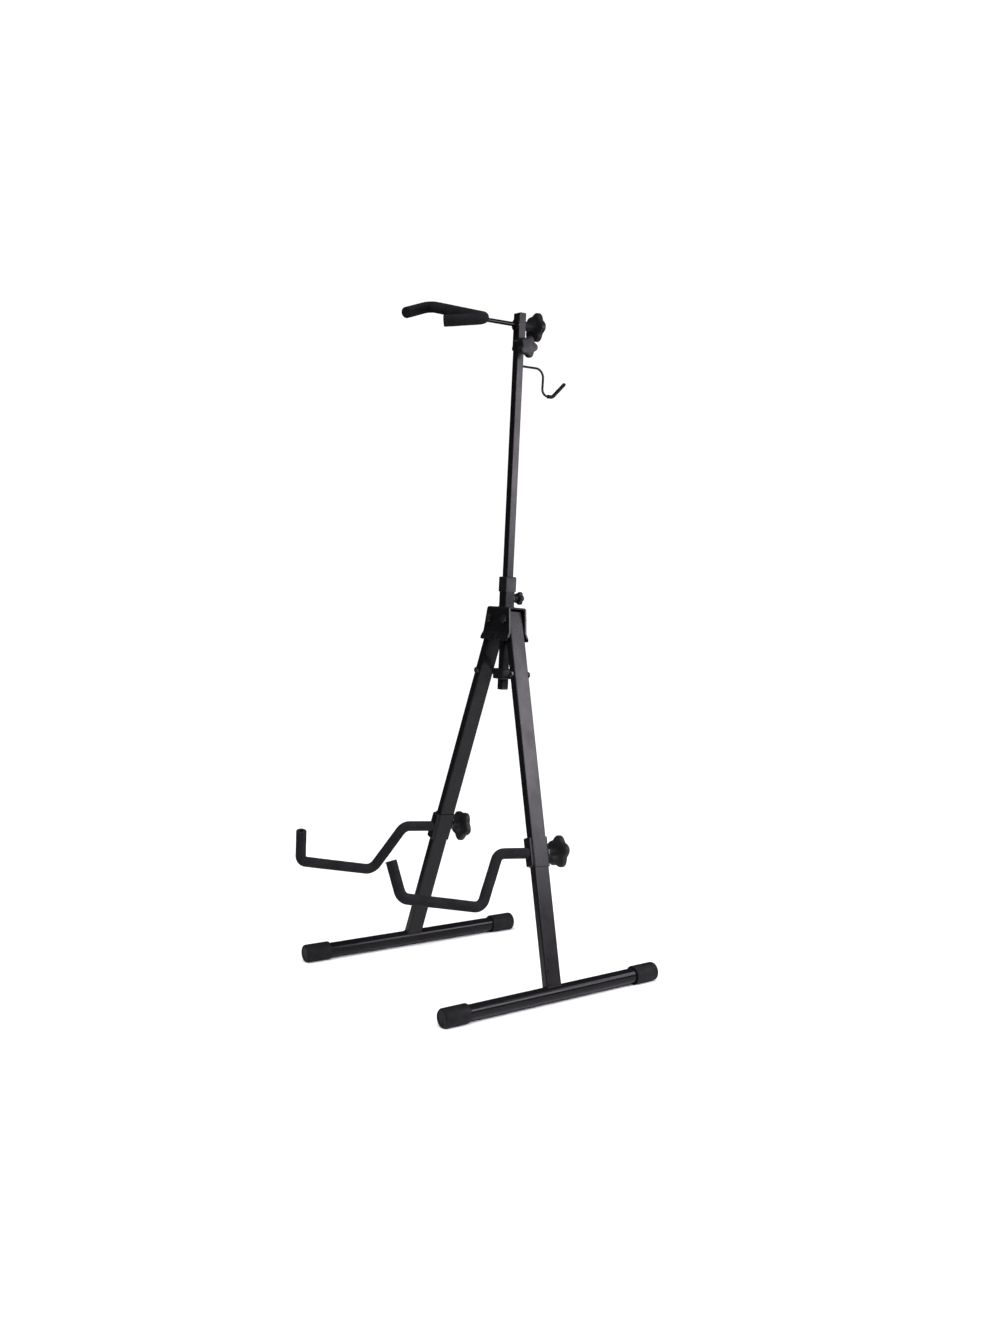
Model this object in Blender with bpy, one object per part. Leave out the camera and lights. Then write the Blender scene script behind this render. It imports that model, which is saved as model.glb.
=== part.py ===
"""Folding A-frame floor stand for a stringed instrument, in metres, +Z up, -Y to the front.

Two splayed legs hinge in a bracket. A sliding mast carries a yoke for the neck and a bow hook.
Each leg has a round foot tube and a clamped sleeve with a bent, padded arm.
"""
from math import atan, cos, pi, radians, sin, sqrt, tan

import bmesh
import bpy
from mathutils import Matrix, Vector

# Overall layout
FEET_SPACING = 0.444        # between the two foot axes, at the legs
FEET_MID_Y = 0.02496        # middle of the feet, so that the whole stand is centred on Y = 0
FOOT_AXIS_Z = 0.0156
FOOT_LENGTH = 0.440         # over the rubber caps
PIVOT_Z = 0.6159            # hinge bolts' height
PIVOT_HALF = 0.0230         # half the distance between the hinge bolts
LEG_LEAN = radians(6.07)    # the plane of the legs leans back
MAST_LEAN = radians(3.57)   # the mast leans back a little less
CLEAR = 0.0003              # gap between neighbouring pieces

# Legs and feet
LEG_X, LEG_Y, LEG_WALL = 0.0150, 0.0300, 0.0015
LEG_TOP = 0.012             # length above the hinge bolt
FOOT_R, FOOT_WALL = 0.0127, 0.0016
CAP_R, CAP_LENGTH, CAP_END = 0.0160, 0.048, 0.005
HINGE_BOLT_R, LINK_BOLT_R = 0.004, 0.003
LINK_ALONG = 0.098          # from the hinge bolt down the leg to the link bolt

# Hinge bracket
BRACKET_GAP = 0.0154        # half the inner gap, front to back
BRACKET_T, BRACKET_FOLD_R = 0.0030, 0.0044
BRACKET_TOP = 0.0212        # top face above the hinge bolts
BRACKET_BEND = -0.0225      # where the lips flare out
BRACKET_LOW = -0.0360
BRACKET_FLARE = 0.0060
BRACKET_LIP_CORNER = 0.0030 # cut off the lips' corners
BRACKET_HALF_TOP, BRACKET_HALF_LOW = 0.0330, 0.0420
NOTCH_HALF, NOTCH_TOP = 0.0080, -0.0250

# Mast, socket and collar
MAST_HALF, MAST_WALL = 0.0071, 0.0015
MAST_LOW, MAST_TOP = -0.1195, 0.4800
SOCKET_HALF, SOCKET_WALL, SOCKET_TOP = 0.0100, 0.0015, 0.0556
COLLAR_HALF, COLLAR_LOW, COLLAR_TOP = 0.0115, 0.0480, 0.0740
HEIGHT_KNOB_UP = 0.0373

# Spreader below the bracket
SLIDER_MID, SLIDER_TALL = -0.0950, 0.0180
SLIDER_HALF_X, SLIDER_HALF_Y, SLIDER_SHIFT = 0.0145, 0.0120, -0.0014
PIN_X, PIN_R = 0.0125, 0.0025
LINK_BACK, LINK_T = 0.0157, 0.0025
LINK_END_R, LINK_WAIST = 0.0052, 0.0042

# Head and yoke
TILT_UP = 0.4695
HEAD_HALF_X, HEAD_HALF_Y, HEAD_TOP = 0.0090, 0.0070, 0.5295
HEAD_SLOT_TOP = 0.0140      # solid part starts this far above the tilt bolt
TILT_BOLT_R = 0.003
YOKE_UP = 0.5089
YOKE_ROD_R, YOKE_FRAME_R, YOKE_FOAM_R = 0.00375, 0.0040, 0.0096
YOKE_FORWARD, YOKE_RISE = 0.1265, 0.0048    # the yoke's base bar in front of the mast and above its rod
YOKE_HALF, YOKE_CORNER = 0.0935, 0.0115
YOKE_ARM, YOKE_TURN_IN = 0.0728, radians(25.1)
YOKE_DROOP, YOKE_ROLL = radians(14.6), radians(13.1)
YOKE_END_WALL = 0.005       # foam past the end of the frame inside it
WASHER_R = 0.0110

# Bow hook, as (behind the mast axis, up) corners with their bend radii
HOOK_R, HOOK_SLEEVE_R = 0.0020, 0.0032
HOOK_PATH = [(0.0035, 0.4395), (0.0556, 0.4395), (0.0545, 0.3937), (0.0770, 0.3934), (0.1023, 0.4190)]
HOOK_BENDS = [0.016, 0.012, 0.010]
HOOK_STEPS = 8              # straight pieces in each bend
HOOK_TIP = 0.0012           # rubber past the rod's end

# Body arms, as (in front of the leg axis, down the leg) corners
SLEEVE_ALONG, SLEEVE_TALL, SLEEVE_WALL, SLEEVE_GAP = 0.4040, 0.0500, 0.0014, 0.0004
PLATE_T, PLATE_HALF_X = 0.0040, 0.0085
ARM_PATH = [(0.0214, 0.4054), (0.0808, 0.4054), (0.1238, 0.4922), (0.2724, 0.4726), (0.2853, 0.4135)]
ARM_BENDS = [0.018, 0.020, 0.016]
ARM_ROD_R, ARM_FOAM_R = 0.0040, 0.0090
ARM_ROD_SHORT = 0.006       # the rod stops this far inside its foam

# Screws, nuts and hand knobs
CLAMP_SCREW_R, HEIGHT_SCREW_R = 0.0040, 0.0030
CLAMP_NUT, HEIGHT_NUT, LINK_NUT = 0.0040, 0.0040, 0.0016
KNOB_POINTS = 30            # around a hand knob
# hub radius, hub length, head thickness, head radius, lobe depth
CLAMP_KNOB = (0.0072, 0.0150, 0.0115, 0.0280, 0.0056)
YOKE_KNOB = (0.0085, 0.0205, 0.0115, 0.0258, 0.0050)
TILT_KNOB = (0.0070, 0.0110, 0.0120, 0.0194, 0.0050)
HEIGHT_KNOB = (0.0055, 0.0065, 0.0085, 0.0118, 0.0028)

MATERIALS = {
    "black_paint": ((0.020, 0.020, 0.022, 1.0), 0.35, 0.0),
    "foam": ((0.028, 0.028, 0.030, 1.0), 0.92, 0.0),
    "rubber": ((0.024, 0.024, 0.025, 1.0), 0.75, 0.0),
    "plastic": ((0.018, 0.018, 0.020, 1.0), 0.45, 0.0),
    "steel": ((0.42, 0.42, 0.43, 1.0), 0.35, 1.0),
    "black_steel": ((0.035, 0.035, 0.038, 1.0), 0.40, 0.6),
}


class Frame:
    """A right-handed frame: a point and three unit directions."""

    def __init__(self, origin, x_dir, y_dir, z_dir):
        self.origin, self.axes = origin, (x_dir, y_dir, z_dir)

    def at(self, x, y, z):
        return self.origin + x * self.axes[0] + y * self.axes[1] + z * self.axes[2]

    def moved(self, x, y, z):
        return Frame(self.at(x, y, z), *self.axes)


RIGHT = Vector((1.0, 0.0, 0.0))
SPLAY = atan((FEET_SPACING / 2 - PIVOT_HALF) * cos(LEG_LEAN) / (PIVOT_Z - FOOT_AXIS_Z))
PIVOT_Y = FEET_MID_Y + tan(LEG_LEAN) * (PIVOT_Z - FOOT_AXIS_Z)
TOP = Vector((0.0, PIVOT_Y, PIVOT_Z))
PLANE_BACK = Vector((0.0, cos(LEG_LEAN), -sin(LEG_LEAN)))
PLANE_UP = Vector((0.0, sin(LEG_LEAN), cos(LEG_LEAN)))
PLANE = Frame(TOP, RIGHT, PLANE_BACK, PLANE_UP)
MAST = Frame(TOP, RIGHT, Vector((0.0, cos(MAST_LEAN), -sin(MAST_LEAN))),
             Vector((0.0, sin(MAST_LEAN), cos(MAST_LEAN))))


def leg_frame(side):
    """Frame at a leg's hinge bolt: x across the leg, y to the back, z up the leg."""
    x_dir = cos(SPLAY) * RIGHT + side * sin(SPLAY) * PLANE_UP
    z_dir = cos(SPLAY) * PLANE_UP - side * sin(SPLAY) * RIGHT
    return Frame(PLANE.at(side * PIVOT_HALF, 0.0, 0.0), x_dir, PLANE_BACK, z_dir)


def foot_frame(side):
    """Frame at a foot tube's middle, with y along the tube, parallel to the leg's wide faces."""
    toe = atan(tan(SPLAY) * sin(LEG_LEAN))
    y_dir = Vector((-side * sin(toe), cos(toe), 0.0))
    z_dir = Vector((0.0, 0.0, 1.0))
    middle = Vector((side * FEET_SPACING / 2, FEET_MID_Y, FOOT_AXIS_Z))
    return Frame(middle, y_dir.cross(z_dir), y_dir, z_dir)


# Outlines ------------------------------------------------------------------------------------

def circle(radius, count=24):
    return [(radius * cos(2 * pi * i / count), radius * sin(2 * pi * i / count)) for i in range(count)]


def hexagon(half_flats, count=24):
    points = []
    for i in range(count):
        angle = 2 * pi * i / count
        fold = (angle + pi / 6) % (pi / 3) - pi / 6
        points.append((half_flats / cos(fold) * cos(angle), half_flats / cos(fold) * sin(angle)))
    return points


def rounded(half_x, half_y, radius, steps=3, mids=0):
    """Rounded rectangle; mids adds points along the two sides that run across x."""
    points = []
    for cx, cy, start in ((1, 1, 0.0), (-1, 1, pi / 2), (-1, -1, pi), (1, -1, 3 * pi / 2)):
        for i in range(steps + 1):
            angle = start + pi / 2 * i / steps
            points.append((cx * (half_x - radius) + radius * cos(angle),
                           cy * (half_y - radius) + radius * sin(angle)))
        for i in range(mids if cx == cy else 0):
            points.append((cx * (half_x - radius) * (1 - 2 * (i + 1) / (mids + 1)), cy * half_y))
    return points


def star(radius, depth):
    """Five-lobed outline whose lobes reach the radius and whose valleys lie depth inside it."""
    points = []
    for i in range(KNOB_POINTS):
        angle = 2 * pi * i / KNOB_POINTS
        wave = (0.5 + 0.5 * cos(5 * angle)) ** 0.8
        reach = radius - depth * (1.0 - wave)
        points.append((reach * cos(angle), reach * sin(angle)))
    return points


# Meshes --------------------------------------------------------------------------------------

def level(frame, outline, z, axis="z"):
    """Place an outline across the frame's z axis, or across its y or x axis."""
    if axis == "z":
        return [frame.at(u, v, z) for u, v in outline]
    if axis == "y":
        return [frame.at(u, z, v) for u, v in outline]
    return [frame.at(z, u, v) for u, v in outline]


def bridge(first, second, count):
    following = [(i + 1) % count for i in range(count)]
    return [(first + i, first + j, second + j, second + i) for i, j in enumerate(following)]


def ring_loop(rings):
    """Closed tube-like body: every ring joins the next, and the last joins the first."""
    count = len(rings[0])
    verts = [point for ring in rings for point in ring]
    faces = []
    for i in range(len(rings)):
        faces += bridge(i * count, (i + 1) % len(rings) * count, count)
    return verts, faces


def ring_solid(rings):
    """Closed body: the rings in a row, with a cap on the first and on the last."""
    count = len(rings[0])
    verts = [point for ring in rings for point in ring]
    faces = [tuple(range(count)), tuple(range(len(verts) - count, len(verts)))]
    for i in range(len(rings) - 1):
        faces += bridge(i * count, (i + 1) * count, count)
    return verts, faces


def rounded_path(corners, radii, steps=6):
    """Round the inner corners of a line of points with arcs."""
    path = [corners[0]]
    for before, corner, after, radius in zip(corners, corners[1:], corners[2:], radii):
        into, out = (corner - before).normalized(), (after - corner).normalized()
        turn = into.angle(out)
        reach = radius * tan(turn / 2)
        start = corner - into * reach
        side = (out - into * into.dot(out)).normalized()
        for i in range(steps + 1):
            angle = turn * i / steps
            path.append(start + into * radius * sin(angle) + side * radius * (1.0 - cos(angle)))
    path.append(corners[-1])
    return path


def sections(path, radius, count, side):
    """Circles square to a path; side is a direction that stays off the path's own."""
    rings = []
    for i, point in enumerate(path):
        before, after = path[max(i - 1, 0)], path[min(i + 1, len(path) - 1)]
        forward = (after - before).normalized()
        across = (side - forward * side.dot(forward)).normalized()
        other = forward.cross(across)
        rings.append([point + u * across + v * other for u, v in circle(radius, count)])
    return rings


def foam_sleeve(path, rod_radius, radius, side, edge, end_wall):
    """Foam or rubber over a rod: closed at the far end, open at the near end, with eased edges."""
    count = 16
    inside = path[:-1] + [path[-1] - (path[-1] - path[-2]).normalized() * end_wall]
    bore = sections(inside, rod_radius + CLEAR, count, side)
    ends = [(path[0], path[1]), (path[-1], path[-2])]
    skin_path = [ends[0][0]] + [ends[0][0] + (ends[0][1] - ends[0][0]).normalized() * edge]
    skin_path += path[1:-1] + [ends[1][0] + (ends[1][1] - ends[1][0]).normalized() * edge, ends[1][0]]
    skin = sections(skin_path, radius, count, side)
    for index in (0, -1):
        middle = skin_path[index]
        skin[index] = [middle + (point - middle) * (1.0 - edge / radius) for point in skin[index]]
    return ring_solid(bore[::-1] + skin)


def add_part(name, body, material, origin):
    """Make a named object whose origin is a point of its joint."""
    verts, faces = body
    mesh = bpy.data.meshes.new(name)
    mesh.from_pydata([point - origin for point in verts], [], faces)
    work = bmesh.new()
    work.from_mesh(mesh)
    bmesh.ops.recalc_face_normals(work, faces=work.faces)
    work.to_mesh(mesh)
    work.free()
    mesh.shade_smooth()
    mesh.set_sharp_from_angle(angle=radians(32.0))
    part = bpy.data.objects.new(name, mesh)
    part.location = origin
    bpy.context.collection.objects.link(part)
    mesh.materials.append(bpy.data.materials[material])
    return part


def cut(part, name, body):
    """Cut a body out of a part with a live Boolean; the cutter stays hidden from renders."""
    cutter = add_part(name, body, "steel", Vector((0.0, 0.0, 0.0)))
    cutter.hide_render = True
    cutter.display_type = "WIRE"
    modifier = part.modifiers.new(name, "BOOLEAN")
    modifier.operation = "DIFFERENCE"
    modifier.solver = "EXACT"
    modifier.object = cutter


def cylinder(frame, radius, low, high, axis, count=24):
    outline = circle(radius, count)
    return ring_solid([level(frame, outline, low, axis), level(frame, outline, high, axis)])


def block(frame, half_x, low_y, high_y, low_z, high_z):
    outline = [(-half_x, low_y), (half_x, low_y), (half_x, high_y), (-half_x, high_y)]
    return ring_solid([level(frame, outline, low_z), level(frame, outline, high_z)])


def bolt(frame, radius, half_flats, head, start, end, axis="y"):
    """Hex bolt: head from head to start, shank from start to end, with a bevelled tip."""
    shank, tip = circle(radius, 24), circle(radius - 0.0006, 24)
    step = 0.0006 if end > start else -0.0006
    rings = [level(frame, hexagon(half_flats - 0.0006), head, axis),
             level(frame, hexagon(half_flats), head + step, axis),
             level(frame, hexagon(half_flats), start, axis),
             level(frame, shank, start, axis),
             level(frame, shank, end - step, axis),
             level(frame, tip, end, axis)]
    return ring_solid(rings)


def nut(frame, radius, half_flats, low, high, axis="y"):
    """Hex nut with bevelled corners and a plain bore."""
    outer, small, bore = hexagon(half_flats), hexagon(half_flats - 0.0005), circle(radius + CLEAR, 24)
    rings = [level(frame, bore, low, axis), level(frame, small, low, axis),
             level(frame, outer, low + 0.0005, axis), level(frame, outer, high - 0.0005, axis),
             level(frame, small, high, axis), level(frame, bore, high, axis)]
    return ring_loop(rings)


def screw(frame, radius, start, end):
    """Plain screw shank along +y with a bevelled tip at its start."""
    tip = radius * 0.8
    return ring_solid([level(frame, circle(tip), start, "y"),
                       level(frame, circle(radius), start + radius - tip, "y"),
                       level(frame, circle(radius), end, "y")])


def square_tube(frame, half_x, half_y, wall, radius, low, high):
    outer = rounded(half_x, half_y, radius)
    inner = rounded(half_x - wall, half_y - wall, max(radius - wall, 0.0004))
    return ring_loop([level(frame, outer, low), level(frame, outer, high),
                      level(frame, inner, high), level(frame, inner, low)])


def star_knob(frame, axis, start, shape, bore_r, bore):
    """Lobed hand knob along +axis: a round hub with a blind bore, then a domed star head."""
    hub_r, hub, thick, radius, depth = shape
    hub_ring, bore_ring = circle(hub_r, KNOB_POINTS), circle(bore_r + CLEAR, KNOB_POINTS)
    foot = start + hub
    rings = [level(frame, bore_ring, start + bore, axis), level(frame, bore_ring, start, axis),
             level(frame, circle(hub_r - 0.0008, KNOB_POINTS), start, axis),
             level(frame, hub_ring, start + 0.0008, axis), level(frame, hub_ring, foot, axis)]
    for share, rise in ((0.88, 0.0), (0.97, 0.0012), (1.0, 0.0032), (1.0, thick - 0.0034),
                        (0.95, thick - 0.0012), (0.84, thick), (0.60, thick + 0.0008)):
        rings.append(level(frame, star(radius * share, depth * share), foot + rise, axis))
    return ring_solid(rings)


# Pieces --------------------------------------------------------------------------------------

def make_bracket():
    """Folded-sheet inverted U with rounded bends and flared lips, notched at the middle."""
    gap, outer, fold = BRACKET_GAP, BRACKET_GAP + BRACKET_T, BRACKET_FOLD_R
    share = 0.6             # of the lip's length above its cut corners
    low = BRACKET_BEND + (BRACKET_LOW - BRACKET_BEND) * share
    half = [(outer + BRACKET_FLARE, BRACKET_LOW), (outer + BRACKET_FLARE * share, low),
            (outer, BRACKET_BEND), (outer, BRACKET_TOP - fold)]
    lip_drop = BRACKET_T * BRACKET_FLARE / (BRACKET_BEND - BRACKET_LOW)
    inner_half = [(gap + BRACKET_FLARE, BRACKET_LOW - lip_drop),
                  (gap + BRACKET_FLARE * share, low - lip_drop / 2),
                  (gap, BRACKET_BEND - lip_drop / 2), (gap, BRACKET_TOP - fold)]
    for i in range(1, 5):
        angle = pi / 2 * i / 4
        small = fold - BRACKET_T
        half.append((outer - fold + fold * cos(angle), BRACKET_TOP - fold + fold * sin(angle)))
        inner_half.append((outer - fold + small * cos(angle), BRACKET_TOP - fold + small * sin(angle)))
    profile = half + [(-y, z) for y, z in reversed(half)]
    lining = inner_half + [(-y, z) for y, z in reversed(inner_half)]
    slope = (BRACKET_HALF_LOW - BRACKET_HALF_TOP) / (BRACKET_TOP - BRACKET_LOW)
    rings = []
    for i, ((y_out, z_out), (y_in, z_in)) in enumerate(zip(profile, lining)):
        wide = BRACKET_HALF_TOP + slope * (BRACKET_TOP - z_out)
        if i in (0, len(profile) - 1):
            wide -= BRACKET_LIP_CORNER
        rings.append([PLANE.at(-wide, y_out, z_out), PLANE.at(wide, y_out, z_out),
                      PLANE.at(wide, y_in, z_in), PLANE.at(-wide, y_in, z_in)])
    bracket = add_part("hinge_bracket", ring_solid(rings), "black_paint", TOP)
    for side in (-1, 1):
        frame = PLANE.moved(side * PIVOT_HALF, 0.0, 0.0)
        cut(bracket, "cut_hinge_bolt_%d" % side, cylinder(frame, HINGE_BOLT_R + CLEAR, -0.03, 0.03, "y"))
    hole = MAST_HALF + 0.0006
    cut(bracket, "cut_mast_way", block(MAST, hole, -hole, hole, 0.010, 0.030))
    cut(bracket, "cut_notches", block(PLANE, NOTCH_HALF, -0.04, 0.04, -0.05, NOTCH_TOP))


def make_socket():
    """Short square tube on the bracket, cut at its foot to the bracket's slope."""
    outer = rounded(SOCKET_HALF, SOCKET_HALF, 0.0020)
    inner = rounded(SOCKET_HALF - SOCKET_WALL, SOCKET_HALF - SOCKET_WALL, 0.0006)

    def foot(outline):
        points = []
        for x, y in outline:
            start = MAST.at(x, y, 0.0)
            rise = BRACKET_TOP + CLEAR - (start - TOP).dot(PLANE_UP)
            points.append(MAST.at(x, y, rise / MAST.axes[2].dot(PLANE_UP)))
        return points

    rings = [foot(outer), level(MAST, outer, SOCKET_TOP), level(MAST, inner, SOCKET_TOP), foot(inner)]
    socket = add_part("socket_tube", ring_loop(rings), "black_paint", TOP)
    knob = MAST.moved(0.0, 0.0, HEIGHT_KNOB_UP)
    cut(socket, "cut_height_screw", cylinder(knob, HEIGHT_SCREW_R + CLEAR, 0.0, 0.02, "y"))


def make_collar():
    """Moulded guide: a snug upper hole for the mast and a pocket over the socket tube."""
    step = SOCKET_TOP + CLEAR
    rings = [level(MAST, rounded(COLLAR_HALF, COLLAR_HALF, 0.0025), COLLAR_LOW),
             level(MAST, rounded(COLLAR_HALF, COLLAR_HALF, 0.0025), COLLAR_TOP - 0.0012),
             level(MAST, rounded(COLLAR_HALF - 0.0012, COLLAR_HALF - 0.0012, 0.0020), COLLAR_TOP),
             level(MAST, rounded(MAST_HALF + CLEAR, MAST_HALF + CLEAR, 0.0012), COLLAR_TOP),
             level(MAST, rounded(MAST_HALF + CLEAR, MAST_HALF + CLEAR, 0.0012), step),
             level(MAST, rounded(SOCKET_HALF + CLEAR, SOCKET_HALF + CLEAR, 0.0020), step),
             level(MAST, rounded(SOCKET_HALF + CLEAR, SOCKET_HALF + CLEAR, 0.0020), COLLAR_LOW)]
    add_part("socket_collar", ring_loop(rings), "plastic", TOP)


def make_hinge_bolts():
    outer = BRACKET_GAP + BRACKET_T + CLEAR
    for side, name in ((-1, "left"), (1, "right")):
        frame = PLANE.moved(side * PIVOT_HALF, 0.0, 0.0)
        add_part(name + "_hinge_bolt",
                 bolt(frame, HINGE_BOLT_R, 0.0065, -outer - 0.0045, -outer, outer + 0.0070),
                 "black_steel", frame.origin)
        add_part(name + "_hinge_nut", nut(frame, HINGE_BOLT_R, 0.0065, outer, outer + 0.0050),
                 "black_steel", frame.origin)


def coped_end(frame, outline, foot):
    """End a leg just above its round foot tube, following the tube's surface."""
    points = []
    for x, y in outline:
        start = frame.at(x, y, 0.0)
        down = -frame.axes[2]
        axis = foot.axes[1]
        across = down - axis * down.dot(axis)
        offset = (start - foot.origin) - axis * (start - foot.origin).dot(axis)
        a, b = across.dot(across), 2.0 * across.dot(offset)
        c = offset.dot(offset) - (FOOT_R + CLEAR) ** 2
        points.append(start + down * ((-b - sqrt(b * b - 4.0 * a * c)) / (2.0 * a)))
    return points


def make_leg(side, name):
    frame, foot = leg_frame(side), foot_frame(side)
    pivot = frame.origin
    outer = rounded(LEG_X / 2, LEG_Y / 2, 0.0025, steps=4, mids=5)
    inner = rounded(LEG_X / 2 - LEG_WALL, LEG_Y / 2 - LEG_WALL, 0.0010, steps=4, mids=5)
    rings = [coped_end(frame, outer, foot), level(frame, outer, LEG_TOP),
             level(frame, inner, LEG_TOP), coped_end(frame, inner, foot)]
    leg = add_part(name + "_leg_tube", ring_loop(rings), "black_paint", pivot)
    lower = frame.moved(0.0, 0.0, -LINK_ALONG)
    cut(leg, "cut_%s_hinge_hole" % name, cylinder(frame, HINGE_BOLT_R + CLEAR, -0.02, 0.02, "y"))
    cut(leg, "cut_%s_link_hole" % name, cylinder(lower, LINK_BOLT_R + CLEAR, -0.02, 0.02, "y"))

    half = FOOT_LENGTH / 2
    end = half - CAP_END - CLEAR
    tube = [level(foot, circle(FOOT_R, 32), -end, "y"), level(foot, circle(FOOT_R, 32), end, "y"),
            level(foot, circle(FOOT_R - FOOT_WALL, 32), end, "y"),
            level(foot, circle(FOOT_R - FOOT_WALL, 32), -end, "y")]
    add_part(name + "_foot_tube", ring_loop(tube), "black_paint", pivot)

    for sign, place in ((-1, "front"), (1, "back")):
        def cap_ring(radius, inset):
            points = [(u, max(v, -FOOT_AXIS_Z)) for u, v in circle(radius, 32)]
            return level(foot, points, sign * (half - inset), "y")

        bore = FOOT_R + CLEAR
        rings = [level(foot, circle(bore, 32), sign * (half - CAP_END), "y"),
                 level(foot, circle(bore, 32), sign * (half - CAP_LENGTH), "y"),
                 cap_ring(CAP_R - 0.0010, CAP_LENGTH), cap_ring(CAP_R, CAP_LENGTH - 0.0010),
                 cap_ring(CAP_R, 0.0045), cap_ring(CAP_R - 0.0008, 0.0020),
                 cap_ring(CAP_R - 0.0022, 0.0006), cap_ring(CAP_R - 0.0042, 0.0)]
        add_part("%s_%s_cap" % (name, place), ring_solid(rings), "rubber", pivot)

    front = -LEG_Y / 2 - CLEAR
    link_out = LINK_BACK + LINK_T + CLEAR
    body = bolt(lower, LINK_BOLT_R, 0.0050, front - 0.0038, front, link_out + LINK_NUT + 0.0002)
    add_part(name + "_link_bolt", body, "black_steel", pivot)
    body = nut(lower, LINK_BOLT_R, 0.0050, link_out, link_out + LINK_NUT)
    add_part(name + "_link_nut", body, "black_steel", pivot)


def pin_height():
    """The links' inner pivots, as a height in the plane of the legs."""
    return (MAST.at(0.0, 0.0, SLIDER_MID) - TOP).dot(PLANE_UP)


def make_slider():
    """Collar on the mast. The links' rivets stop just short of its back face."""
    low, high = SLIDER_MID - SLIDER_TALL / 2, SLIDER_MID + SLIDER_TALL / 2
    hole = MAST_HALF + 0.0004
    bevel = 0.0012
    shifted = MAST.moved(0.0, SLIDER_SHIFT, 0.0)
    outer = rounded(SLIDER_HALF_X, SLIDER_HALF_Y, 0.0030)
    trimmed = rounded(SLIDER_HALF_X - bevel, SLIDER_HALF_Y - bevel, 0.0022)
    bore = rounded(hole, hole, 0.0012)
    rings = [level(shifted, trimmed, low), level(shifted, outer, low + bevel),
             level(shifted, outer, high - bevel), level(shifted, trimmed, high),
             level(MAST, bore, high), level(MAST, bore, low)]
    add_part("slider_collar", ring_loop(rings), "plastic", TOP)


def make_link(side, name):
    """Flat bar with round ends, from the leg's bolt to a rivet behind the slider."""
    leg = leg_frame(side)
    outer_eye = leg.at(0.0, 0.0, -LINK_ALONG)
    inner_eye = PLANE.at(side * PIN_X, 0.0, pin_height())
    along = (inner_eye - outer_eye).normalized()
    length = (inner_eye - outer_eye).length
    frame = Frame(outer_eye, along, PLANE_BACK, along.cross(PLANE_BACK))
    inner = frame.moved(length, 0.0, 0.0)
    outline = []
    for centre, start in ((length, -pi / 2), (0.0, pi / 2)):
        for i in range(13):
            angle = start + pi * i / 12
            outline.append((centre + LINK_END_R * cos(angle), LINK_END_R * sin(angle)))
        sign = 1 if centre else -1
        outline += [(length * (0.5 + sign * share), sign * LINK_WAIST) for share in (0.25, -0.25)]
    link = add_part(name + "_link",
                    ring_solid([level(frame, outline, LINK_BACK, "y"),
                                level(frame, outline, LINK_BACK + LINK_T, "y")]),
                    "black_paint", outer_eye)
    cut(link, "cut_%s_link_outer" % name, cylinder(frame, LINK_BOLT_R + CLEAR, 0.0, 0.03, "y"))
    cut(link, "cut_%s_link_inner" % name, cylinder(inner, PIN_R + CLEAR, 0.0, 0.03, "y"))
    out = LINK_BACK + LINK_T + CLEAR
    shank, head = circle(PIN_R, 24), circle(PIN_R + 0.0018, 24)
    rings = [level(inner, shank, LINK_BACK - CLEAR, "y"), level(inner, shank, out, "y"),
             level(inner, head, out, "y"), level(inner, head, out + 0.0010, "y"),
             level(inner, circle(PIN_R + 0.0010, 24), out + 0.0018, "y")]
    add_part(name + "_link_rivet", ring_solid(rings), "black_steel", inner.origin)


def make_mast():
    tube = square_tube(MAST, MAST_HALF, MAST_HALF, MAST_WALL, 0.0016, MAST_LOW, MAST_TOP)
    mast = add_part("mast_tube", tube, "black_paint", TOP)
    tilt = MAST.moved(0.0, 0.0, TILT_UP)
    cut(mast, "cut_tilt_hole", cylinder(tilt, TILT_BOLT_R + CLEAR, -0.02, 0.02, "x"))
    hook = MAST.moved(0.0, 0.0, HOOK_PATH[0][1])
    cut(mast, "cut_hook_hole", cylinder(hook, HOOK_R + CLEAR, 0.0, 0.02, "y", count=16))

    inside, rim = MAST_HALF - MAST_WALL - CLEAR, MAST_HALF - 0.0008
    solid, spigot = rounded(MAST_HALF, MAST_HALF, 0.0016), rounded(inside, inside, 0.0006)
    base = MAST_LOW - CLEAR
    rings = [level(MAST, rounded(rim, rim, 0.0012), base - 0.0030),
             level(MAST, solid, base - 0.0022), level(MAST, solid, base),
             level(MAST, spigot, base), level(MAST, spigot, base + 0.0100)]
    add_part("mast_plug", ring_solid(rings), "plastic", TOP)


def make_bow_hook():
    """Bent rod behind the mast, with rubber over its cradle and its upturned end."""
    corners = [MAST.at(0.0, back, up) for back, up in HOOK_PATH]
    path = rounded_path(corners, HOOK_BENDS, steps=HOOK_STEPS)
    add_part("bow_hook_rod", ring_solid(sections(path, HOOK_R, 12, RIGHT)), "black_paint", TOP)
    end = corners[-1] + (corners[-1] - corners[-2]).normalized() * HOOK_TIP
    second_bend_end = 2 * (HOOK_STEPS + 1)
    sleeve = foam_sleeve(path[second_bend_end:-1] + [end], HOOK_R, HOOK_SLEEVE_R, RIGHT, edge=0.0008,
                         end_wall=HOOK_TIP - CLEAR)
    add_part("bow_hook_sleeve", sleeve, "rubber", TOP)


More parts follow.
